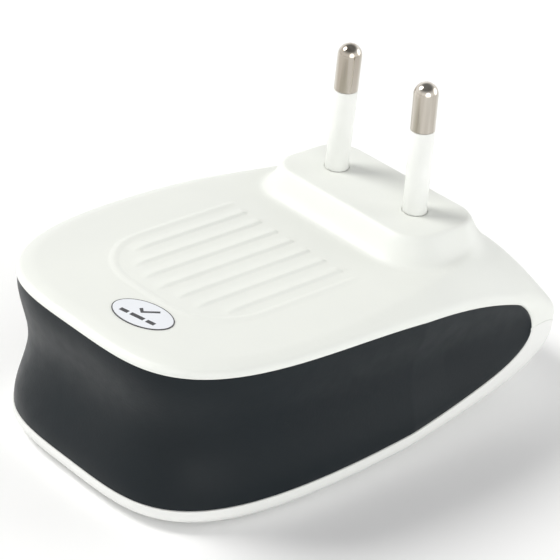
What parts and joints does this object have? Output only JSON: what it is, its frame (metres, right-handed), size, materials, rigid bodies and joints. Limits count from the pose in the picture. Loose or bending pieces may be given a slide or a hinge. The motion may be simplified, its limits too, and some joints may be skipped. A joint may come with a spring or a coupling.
{
  "type": "ultrasonic pest repeller",
  "caption": "Plug-in ultrasonic pest repeller: white clamshell with a black waisted side band, a louvred back and a raised plinth carrying a two-pin mains plug.",
  "frame": {"origin": "centre of the plug's engagement face, midway between the two pins", "axes": "+Z out of the wall side along the plug pins, +Y towards the thin nose end of the body, +X across its width; X = 0 is the mirror plane"},
  "size_m": [0.0554, 0.0876, 0.056],
  "materials": {
    "back_plastic": "fine satin grain",
    "front_plastic": "semi-gloss",
    "band_plastic": "soft-touch, satin",
    "pin_metal": "bright nickel plating",
    "sleeve_plastic": "smooth satin",
    "clamp_board": "phenolic sheet",
    "screw_steel": "zinc plated",
    "board_laminate": "solder mask",
    "transducer_black": "moulded",
    "cone_metal": "spun",
    "disc_brass": "plain",
    "gasket_foam": "closed-cell foam",
    "film_box": "potted box",
    "can_sleeve": "shrunk sleeve",
    "epoxy_black": "moulded epoxy",
    "resistor_body": "lacquered",
    "coil_winding": "enamelled wire on a ferrite bobbin",
    "fuse_body": "glazed",
    "led_clear": "tinted",
    "lens_clear": "frosted clear",
    "lead_brown": "insulation",
    "lead_blue": "insulation",
    "lead_red": "insulation",
    "lead_black": "insulation",
    "sticker_paper": "printed label"
  },
  "bodies": {
    "root": {"back_cover": "back_plastic", "front_cover": "front_plastic", "side_band": "band_plastic", "plug_pin_left": "pin_metal", "plug_pin_right": "pin_metal", "pin_sleeve_left": "sleeve_plastic", "pin_sleeve_right": "sleeve_plastic", "pin_clamp_plate": "clamp_board", "clamp_screws": "screw_steel", "circuit_board": "board_laminate", "board_screws": "screw_steel", "transducer_frame": "transducer_black", "transducer_cone": "cone_metal", "piezo_disc": "disc_brass", "transducer_gasket": "gasket_foam", "dropper_capacitor": "film_box", "smoothing_capacitor": "can_sleeve", "rectifier_diodes": "epoxy_black", "driver_chip": "epoxy_black", "switching_transistors": "epoxy_black", "resistors": "resistor_body", "boost_coil": "coil_winding", "board_fuse": "fuse_body", "indicator_led": "led_clear", "indicator_lens": "lens_clear", "live_lead": "lead_brown", "neutral_lead": "lead_blue", "transducer_lead_red": "lead_red", "transducer_lead_black": "lead_black", "inspection_sticker": "sticker_paper"}
  },
  "joints": []
}
